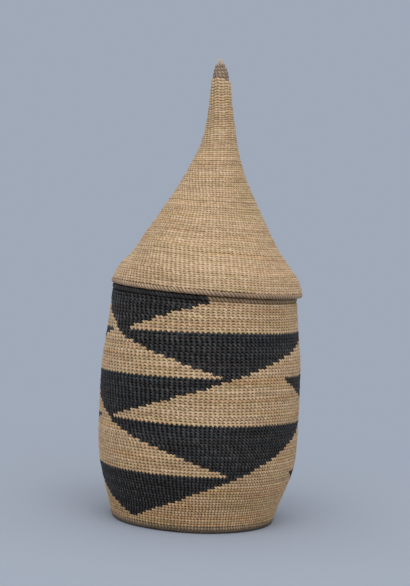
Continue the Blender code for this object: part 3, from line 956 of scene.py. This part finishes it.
def finish_of(name):
    """One of the basket's finishes, made when it is first asked for."""
    if name in bpy.data.materials:
        return bpy.data.materials[name]
    look = bpy.context.scene.basket_colours
    natural = (look.natural_dim, look.natural, look.natural_bright, look.natural_painted_shade)
    dyed = (look.dyed_dim, look.dyed, look.dyed_bright, look.dyed_painted_shade)
    # Painted shade: the lid's strips are a darker copy of the natural ones, against the stronger
    # light on the lid
    lid = [np.array(shade) * look.lid_painted_shade for shade in natural]

    def brown(work):
        plain, spread = np.array(getattr(look, work)), SPREADS[work]
        return plain * (1 - spread), plain, plain * (1 + spread), plain * PAINTED_SHADE_TONE

    wrapped = {"warm": look.warm, "cool": look.cool}
    sewn = {**wrapped, "groove_shade_share": look.groove_shade_share}
    over_dyed = {"warm": look.dyed_warm, "cool": look.dyed_cool, "gloss": look.dyed_gloss,
                 "groove_shade_share": look.dyed_groove_shade_share}
    shades, settings = {
        "base_strips": (natural, sewn),
        "collar_strips": (natural, sewn),
        "wall_strips": (natural, {**sewn, "browned": True}),
        "lid_strips": (lid, {**sewn, "warm": look.lid_warm}),
        "dyed_strips_front": (dyed, over_dyed),
        "dyed_strips_back": (dyed, over_dyed),
        "lid_rim_strips": (brown("rim"), {**wrapped, "other": natural}),
        "mouth_rim_strips": (brown("mouth"),
                             {**wrapped, "other": dyed, "gloss": look.dyed_gloss}),
        "foot_strips": (brown("foot"), {**sewn, "browned": True, "floor_shaded": True}),
        "tip_cord_strips": (brown("tip"), wrapped),
        "grass_ends": (brown("bundle"), wrapped),
    }[name]
    return strip_finish(name, shades, look, **settings)


# Sizes and colours that a user would change


def number(name, description, default, **settings):
    return bpy.props.FloatProperty(name=name, description=description, default=default, **settings)


def length(name, description, default):
    return number(name, description, default, unit="LENGTH", precision=6)


def share(name, description, default):
    return number(name, description, default, subtype="FACTOR", soft_min=0.0, soft_max=1.0)


def colour(name, description, default):
    return bpy.props.FloatVectorProperty(name=name, description=description, default=default,
                                         subtype="COLOR", size=3, min=0.0, max=1.0)


class BasketWeave(bpy.types.PropertyGroup):
    """How the strips lie on the coils."""

    strip: length("Strip", "Width of a sewing strip", 0.00160)
    widest: share("Widest", "Most of a stitch that its strip may fill", 0.70)
    relief: number("Relief", "Height of the wraps and stitches, times the usual", 1.0)
    bulge: length("Bulge", "How much one stitch stands out more than another", 0.00005)
    row_change: length("Row change", "How much one row stands out more than another", 0.00006)
    swell: length("Swell", "Slow waves of the wall, in and out", 0.00016)
    drift: length("Drift", "Slow waves of the rows, up and down", 0.00016)
    phase: share("Phase", "How far stitches miss those of the row below, in stitches", 0.10)
    slip: share("Slip", "How unevenly stitches follow each other, in stitches", 0.045)
    lean_change: share("Lean change", "How much the slant differs from row to row", 0.12)
    reach_change: share("Reach change", "How much further some stitches reach down", 0.10)
    seed: bpy.props.IntProperty(name="Seed", description="Start of the random draws", default=7)


class BasketColours(bpy.types.PropertyGroup):
    """Colours of the strips, coils and cords, and how much they vary."""

    natural_dim: colour("Natural, dim", "Darkest natural strips", (0.330, 0.205, 0.108))
    natural: colour("Natural", "Natural strips", (0.540, 0.365, 0.205))
    natural_bright: colour("Natural, bright", "Palest natural strips", (0.740, 0.545, 0.345))
    # Colour of the painted shade between the natural strips
    natural_painted_shade: colour("Natural pockets", "Between natural strips", (0.080, 0.040, 0.016))
    dyed_dim: colour("Dyed, dim", "Darkest dyed strips", (0.0090, 0.0085, 0.0088))
    dyed: colour("Dyed", "Dyed strips", (0.0340, 0.0316, 0.0317))
    dyed_bright: colour("Dyed, worn", "Palest dyed strips", (0.0860, 0.0810, 0.0800))
    # Colour of the painted shade between the dyed strips
    dyed_painted_shade: colour("Dyed pockets", "Between dyed strips", (0.0015, 0.0014, 0.0015))
    rim: colour("Lid rim", "Overcast rim of the lid", (0.270, 0.175, 0.108))
    mouth: colour("Mouth rim", "Overcast rim of the mouth", (0.380, 0.260, 0.155))
    foot: colour("Foot", "Worn row that the basket stands on", (0.320, 0.232, 0.150))
    tip: colour("Tip cord", "Cord round the tip", (0.283, 0.199, 0.132))
    bundle: colour("Fibre ends", "Grass ends that stand out at the tip", (0.420, 0.345, 0.300))
    warm: colour("Warm tint", "Tint of the warmest runs of strip", (1.00, 0.82, 0.64))
    lid_warm: colour("Lid, warm tint", "The same on the lid", (1.00, 0.89, 0.77))
    browned: colour("Browned tint", "Tint of the strips near the foot", (1.00, 0.93, 0.82))
    # Painted shade: a darker copy of the natural strips for the lid, against the stronger light
    # there
    lid_painted_shade: share("Lid tone", "How bright the lid's strips are beside the wall's", 0.92)
    cool: colour("Cool tint", "Tint of the greenest runs of strip", (0.90, 0.96, 0.80))
    dyed_warm: colour("Dyed, warm tint", "Tint of the brownest dyed runs", (1.00, 0.74, 0.62))
    dyed_cool: colour("Dyed, cool tint", "Tint of the bluest dyed runs", (0.68, 0.90, 1.00))
    dyed_gloss: share("Dyed gloss", "Gloss of the dyed strips", 0.18)
    warmth: share("Warmth", "How much the warm tint shows", 0.65)
    coolness: share("Coolness", "How much the cool tint shows", 0.7)
    run_share: number("Run", "Share of a run's length that one stitch takes", 0.060)
    patch_scale: number("Patches", "Tone patches to a metre", 24.0)
    single: number("Single stitches", "How much tone changes from stitch to stitch", 0.34)
    run: number("Runs", "How much tone changes from run to run", 0.95)
    patch: number("Patch tone", "How much tone changes over the basket", 0.30)
    fibre: number("Fibre", "How much tone changes along a strip's fibres", 0.45)
    # How dark the painted shade gets between the strips, and between two stitches
    painted_shade_share: share("Pockets", "How dark it gets between the strips", 0.92)
    groove_shade_share: share("Grooves", "How dark it gets between two stitches of the wall", 0.12)
    dyed_groove_shade_share: share("Dyed grooves", "The same between two dyed stitches", 0.85)
    rough: share("Roughness", "Roughness of the strips", 0.52)


class BasketStage(bpy.types.PropertyGroup):
    """The table, the light and where the basket is seen from."""

    eye: bpy.props.FloatVectorProperty(name="Eye", description="Where the basket is seen from",
                                       default=(0.0001, -0.772, 0.151), subtype="TRANSLATION")
    pitch: number("Pitch", "How far the view tips down", math.radians(1.6), subtype="ANGLE")
    roll: number("Roll", "How far the view turns left", math.radians(2.8), subtype="ANGLE")
    lens: number("Lens", "Focal length in mm on a 36 mm frame", 82.57)
    table: colour("Table", "Colour of the table and the wall behind it", (0.352, 0.397, 0.479))
    key_power: number("Main light", "Power of the main light", 25.5, unit="POWER")
    sky: number("Sky", "Strength of the light from all sides", 0.82)


# The pieces


def skin_reader():
    """A function that says which of the wall's skins lies nearest to a point."""
    trees = []
    for skin in WALL_SKINS:
        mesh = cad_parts[skin].data
        trees.append(BVHTree.FromPolygons([corner.co for corner in mesh.vertices],
                                          [list(face.vertices) for face in mesh.polygons]))
    return lambda point: int(np.argmin([tree.find_nearest(point)[3] for tree in trees]))


class BASKET_OT_base(bpy.types.Operator):
    """Coil the base from its start knot out to the two rows that the basket stands on."""

    bl_idname = "basket.base"
    bl_label = "Base and foot"

    def execute(self, context):
        disc = node_points("base_coil_disc")
        radii = np.hypot(disc[:, 0], disc[:, 1])
        levels = levels_of(radii)
        under = [disc[np.abs(radii - level) < LEVEL_WIDTH, 2] for level in levels]
        outline = np.array([(level, heights.min()) for level, heights in zip(levels, under)])
        outline[-1, 0] += BASE_REACH
        middle = (MIDDLE_HOLE, outline[0, 1])
        wall = Wall(BASKET, np.vstack((middle, outline)), under[0].max() - under[0].min())
        weave = Weave("base_rows", wall, BASE_ROWS, BASE_STITCHES, HIDDEN_SLANT)
        _, (knot, _) = coil_reach(BASKET, "base_start_knot")
        knot_rows = int(np.searchsorted(weave.edges, knot))
        natural = finish_of("base_strips")
        lay_rows(weave, range(knot_rows), "start_knot_rows", natural,
                 "basket", "natural_coil", "base_start_knot")
        lay_rows(weave, range(knot_rows, weave.rows), "base_rows", natural,
                 "basket", "natural_coil", "base_coil_disc")

        (radius, height), (wide, high) = coil_size(BASKET, "foot_coil")
        outline = [(radius + wide * out, height - high * down) for out, down in FOOT_OUTLINE]
        outline.append(skin_outline(BASKET, "body_coil_wall", "natural_stitching")[0])
        wall = Wall(BASKET, np.array(outline), wide * FOOT_THICKNESS)
        weave = Weave("foot_rows", wall, FOOT_ROWS, BODY_STITCHES, BODY_SLANT,
                      pockets=FOOT_POCKET_SHADE)
        lay_rows(weave, range(weave.rows), "foot_rows", finish_of("foot_strips"),
                 "basket", "foot_binding", "foot_coil")
        return {"FINISHED"}


class BASKET_OT_wall(bpy.types.Operator):
    """Weave the wall of the basket, natural with two dyed zigzags."""

    bl_idname = "basket.wall"
    bl_label = "Wall"

    def execute(self, context):
        slots = ("natural_strip", "dyed_strip", "dyed_strip")
        finishes = [finish_of(name) for name in ("wall_strips", "dyed_strips_front",
                                                 "dyed_strips_back")]
        surface_of = skin_reader()
        outline = skin_outline(BASKET, "body_coil_wall", *WALL_SKINS)
        wall = Wall(BASKET, outline, wall_thickness(BASKET, "body_coil_wall", outline))
        weave = Weave("wall_rows", wall, BODY_ROWS, BODY_STITCHES, BODY_SLANT,
                      short=BODY_SHORT, pockets=BODY_POCKET_SHADE)
        for group, rows in enumerate(weave.groups(), 1):
            laid = join([weave.lay(row, surface_of, finishes) for row in rows], "wall_rows")
            names = [f"{kind}_rows_{group}" for kind in ("natural", "dyed_front", "dyed_back")]
            for part in part_by_finish(laid, names):
                kind = names.index(part.name)
                nodes = ("body_coil_wall",) if kind == 0 else ()
                ready(part, "basket", slots[kind], WALL_SKINS[kind], *nodes)
        return {"FINISHED"}


class BASKET_OT_mouth(bpy.types.Operator):
    """Wrap the mouth's rim and sew the collar that holds the lid."""

    bl_idname = "basket.mouth"
    bl_label = "Mouth and collar"

    def execute(self, context):
        surface_of = skin_reader()
        (radius, height), (_, high) = coil_size(BASKET, "mouth_rim_coil")

        def dyed_at(angles):
            below = BASKET.place(angles, radius, np.full(angles.shape, height - 2 * high))
            return np.array([[float(surface_of(Vector(point)) > 0)] for (point,) in below])

        rim = overcast_ring("mouth_rim_wraps", BASKET, "mouth_rim_coil", MOUTH_WRAPS,
                            finish_of("mouth_rim_strips"), MOUTH_VALLEY_SHADE, dyed_at, MOUTH_RIM_LOWER)
        ready(rim, "basket", "rim_binding", "mouth_rim_coil")
        natural = finish_of("collar_strips")
        outline = outline_of(BASKET, "inner_collar")
        collar = Wall(BASKET, outline, wall_thickness(BASKET, "inner_collar", outline))
        weave = Weave("collar_rows", collar, COLLAR_ROWS, COLLAR_STITCHES, HIDDEN_SLANT)
        lay_rows(weave, range(weave.rows), "collar_rows", natural,
                 "basket", "natural_coil", "inner_collar")
        edge = overcast_ring("collar_edge_wraps", BASKET, "collar_edge_coil", COLLAR_WRAPS,
                             natural, MOUTH_VALLEY_SHADE, lower=MOUTH_RIM_LOWER)
        ready(edge, "basket", "natural_coil", "collar_edge_coil")
        return {"FINISHED"}


class BASKET_OT_lid(bpy.types.Operator):
    """Weave the cone of the lid up to its spire, and overcast its rim."""

    bl_idname = "basket.lid"
    bl_label = "Lid"

    def execute(self, context):
        outline = outline_of(LID, "lid_stitching")
        wall = Wall(LID, outline, wall_thickness(LID, "lid_coil_wall", outline))
        weave = Weave("lid_rows", wall, LID_ROWS, LID_STITCHES, LID_SLANT, LID_RELIEF,
                      LID_CLIMB, LID_SHORT, LID_POCKET_SHADE, ends=True)
        for group, rows in enumerate(weave.groups(), 1):
            lay_rows(weave, rows, f"lid_rows_{group}", finish_of("lid_strips"),
                     "lid", "natural_strip", "lid_stitching", "lid_coil_wall")

        def natural_at(angles):
            return np.interp(degrees_from(0, angles), *zip(*LID_RIM_NATURAL))

        rim = overcast_ring("lid_rim_wraps", LID, "lid_rim_coil", LID_RIM_WRAPS,
                            finish_of("lid_rim_strips"), LID_RIM_VALLEY_SHADE, natural_at)
        ready(rim, "lid", "rim_binding", "lid_rim_coil")
        return {"FINISHED"}


class BASKET_OT_tip(bpy.types.Operator):
    """Wind the cord round the tip and let the grass ends stand out of it."""

    bl_idname = "basket.tip"
    bl_label = "Tip"

    def execute(self, context):
        cord = self.wind_cord()
        ready(join([cord], "tip_winding", FILL_ENDS), "lid", "tip_cord", "tip_binding")
        seed = context.scene.basket_weave.seed + SEEDS["grass_bundle"]
        chance = np.random.default_rng(seed)
        strands = [self.strand(place, chance) for place in range(STRANDS)]
        ready(join(strands, "grass_bundle", FILL_ENDS), "lid", "fibre_bundle", "spire_bundle")
        return {"FINISHED"}

    @staticmethod
    def wind_cord():
        (_, low), (_, high) = coil_reach(LID, "tip_binding")
        low -= CORD_SINK
        radius = CORD_DIAMETER / 2
        along = np.linspace(0, 1, round(CORD_TURNS * CORD_STEPS) + 1)
        turns = along * CORD_TURNS
        climb = np.clip((turns - CORD_LEVEL_TURNS) / (CORD_TURNS - CORD_LEVEL_TURNS), 0, 1)
        height = low + radius * CORD_TALL + climb * (high - low - 2 * radius * CORD_TALL)
        height -= LID_ROWS[-1][1] * MM * (1 - risen(turns))
        turn = turns * 2 * math.pi + COIL_END
        ring = WINDING_RADIUS * np.cos(WINDING_CLOSING * climb)
        middle = LID.place(turn, ring, height)
        ahead = np.gradient(middle, axis=0)
        ahead /= np.linalg.norm(ahead, axis=1)[:, None]
        out = LID.place(turn, ring + MM, height) - middle
        out -= (out * ahead).sum(axis=1)[:, None] * ahead
        out /= np.linalg.norm(out, axis=1)[:, None]
        side = np.cross(ahead, out)
        around = np.linspace(math.pi, 3 * math.pi, CORD_SIDES + 1)
        twist = 2 * around - along[:, None] * CORD_TWIST
        ends = np.clip(np.minimum(along, 1 - along)[:, None] / CORD_END, CORD_END_LEAST, 1) ** 0.5
        reach = radius * (1 + CORD_PLY * np.cos(twist)) * ends / (1 + CORD_PLY)
        ways = ((np.cos(around), out[:, None]), (np.sin(around) * CORD_TALL, side[:, None]))
        return tube("tip_winding", middle, reach, ways, finish_of("tip_cord_strips"),
                    twist / (2 * math.pi) + 0.5, CORD_VALLEY_SHADE * (0.5 - 0.5 * np.cos(twist)) ** 2)

    @staticmethod
    def strand(place, chance):
        (_, low), (_, high) = coil_reach(LID, "spire_bundle")
        top = high - TUFT_TRIM + chance.uniform(*STRAND_ENDS)
        levels = np.linspace(low, top, STRAND_STEPS + 1)
        height = (levels - low) / (high - low)
        lift = np.clip((levels - high + TUFT_RISE) / TUFT_RISE, 0, 1)
        drawn_in = BUNDLE_SPREAD * (1 - BUNDLE_TAPER * height)
        off = math.sqrt((place + 0.5) / STRANDS) * (drawn_in + TUFT_SPREAD * lift ** TUFT_FLARE)
        wander = chance.normal(0, STRAND_WANDER)
        bend = place * GOLDEN_ANGLE + BUNDLE_TWIST * height + wander * lift
        thick = chance.uniform(1 - STRAND_CHANGE, 1 + STRAND_CHANGE)
        reach = STRAND_RADIUS * thick * (1 - TUFT_THINNING * lift)
        around = np.linspace(0, 2 * math.pi, STRAND_SIDES + 1)
        ways = ((np.cos(around), LID.across), (np.sin(around), LID.deep))
        return tube("strand", LID.place(bend, off, levels), reach[:, None], ways,
                    finish_of("grass_ends"), place + 0.5, 0.0)


class BASKET_OT_stage(bpy.types.Operator):
    """Set the table, the light and the camera."""

    bl_idname = "basket.stage"
    bl_label = "Stage"

    def execute(self, context):
        look = context.scene.basket_stage
        self.set_table(look)
        self.set_light(look)
        self.set_camera(look)
        context.scene.view_settings.view_transform = "Standard"
        return {"FINISHED"}

    @staticmethod
    def set_table(look):
        bpy.ops.mesh.primitive_plane_add(size=TABLE_SIZE, location=(0, TABLE_BACK, 0))
        table = bpy.context.object
        table.name = table.data.name = "table"
        edit_whole(table, (bpy.ops.mesh.select_all, {"action": "DESELECT"}))
        for edge in table.data.edges:
            edge.select = all(table.data.vertices[end].co.y > 0 for end in edge.vertices)
        bpy.ops.object.mode_set(mode="EDIT")
        bpy.ops.mesh.spin(steps=SWEEP_STEPS, angle=-math.pi / 2, axis=(1, 0, 0),
                          center=(0, TABLE_BACK + TABLE_SIZE / 2, SWEEP_RADIUS))
        bpy.ops.mesh.extrude_region_move(TRANSFORM_OT_translate={"value": (0, 0, WALL_RISE)})
        bpy.ops.object.mode_set(mode="OBJECT")
        edit_whole(table, CLOSE_SEAMS, (bpy.ops.mesh.normals_make_consistent, {"inside": False}))
        bpy.ops.object.shade_smooth()
        bpy.ops.object.transform_apply(location=True, rotation=True, scale=True)

        cloth = bpy.data.materials.new("table_top")
        nodes = Nodes(cloth)
        tone = nodes.noise(nodes.place(), SPECKS, 3.0) * SPECK_TONE + (TABLE_TONE - SPECK_TONE / 2)
        paint = nodes.blend(opaque(BLACK), opaque(look.table), tone)
        shaded = nodes.own("Principled BSDF", Base_Color=paint, Roughness=TABLE_ROUGHNESS)
        away = nodes.node("ShaderNodeVectorMath", {"operation": "LENGTH"}, {0: nodes.place()},
                          output=1)
        seen = nodes.node("ShaderNodeLightPath") * away.between(*SHADED_REACH)
        even = nodes.node("ShaderNodeEmission", None, {"Color": opaque(look.table)})
        nodes.own("Material Output", Surface=nodes.mixed(seen, shaded, even))
        table.data.materials.append(cloth)

    @staticmethod
    def set_light(look):
        world = bpy.data.worlds.new("studio")
        nodes = Nodes(world)
        light = nodes.own("Background", Color=opaque(WHITE), Strength=look.sky)
        seen = nodes.node("ShaderNodeBackground", None, {"Color": opaque(look.table)})
        both = nodes.mixed(nodes.node("ShaderNodeLightPath"), light, seen)
        nodes.own("World Output", Surface=both)
        bpy.context.scene.world = world

        towards = Vector(KEY_PLACE) - Vector(LIT_POINT)
        bpy.ops.object.light_add(type="AREA", radius=1.0, location=KEY_PLACE,
                                 rotation=towards.to_track_quat("Z", "Y").to_euler())
        lamp = bpy.context.object.data
        lamp.size = KEY_SIZE
        lamp.energy = look.key_power

    @staticmethod
    def set_camera(look):
        ahead = Vector((0, math.cos(look.pitch), -math.sin(look.pitch)))
        up = Vector((0, math.sin(look.pitch), math.cos(look.pitch)))
        right = math.cos(look.roll) * Vector((1, 0, 0)) + math.sin(look.roll) * up
        facing = Matrix((right, right.cross(ahead), -ahead)).transposed()
        bpy.ops.object.camera_add(location=look.eye, rotation=facing.to_euler())
        camera = bpy.context.object
        camera.data.lens = look.lens
        camera.data.sensor_width = SENSOR_WIDTH
        camera.data.clip_start = NEAREST_SEEN
        bpy.context.scene.camera = camera


GROUPS = {"basket_weave": BasketWeave, "basket_colours": BasketColours,
          "basket_stage": BasketStage}
OPERATORS = (BASKET_OT_base, BASKET_OT_wall, BASKET_OT_mouth, BASKET_OT_lid, BASKET_OT_tip,
             BASKET_OT_stage)


class BASKET_PT_panel(bpy.types.Panel):
    """Buttons and sizes of the basket, in the 3D view's sidebar."""

    bl_label = "Coiled basket"
    bl_space_type = "VIEW_3D"
    bl_region_type = "UI"
    bl_category = "Basket"

    def draw(self, context):
        for operator in OPERATORS:
            self.layout.operator(operator.bl_idname)
        for group in GROUPS:
            sizes = getattr(context.scene, group)
            box = self.layout.box()
            for name in type(sizes).__annotations__:
                box.prop(sizes, name)


def register():
    for kind in (*GROUPS.values(), *OPERATORS, BASKET_PT_panel):
        bpy.utils.register_class(kind)
    for name, kind in GROUPS.items():
        setattr(bpy.types.Scene, name, bpy.props.PointerProperty(type=kind))


def unregister():
    for name in GROUPS:
        delattr(bpy.types.Scene, name)
    for kind in (BASKET_PT_panel, *reversed(OPERATORS), *GROUPS.values()):
        bpy.utils.unregister_class(kind)


def main():
    register()
    bpy.ops.basket.base()
    bpy.ops.basket.wall()
    bpy.ops.basket.mouth()
    bpy.ops.basket.lid()
    bpy.ops.basket.tip()
    bpy.ops.basket.stage()


if __name__ == "__main__":
    main()
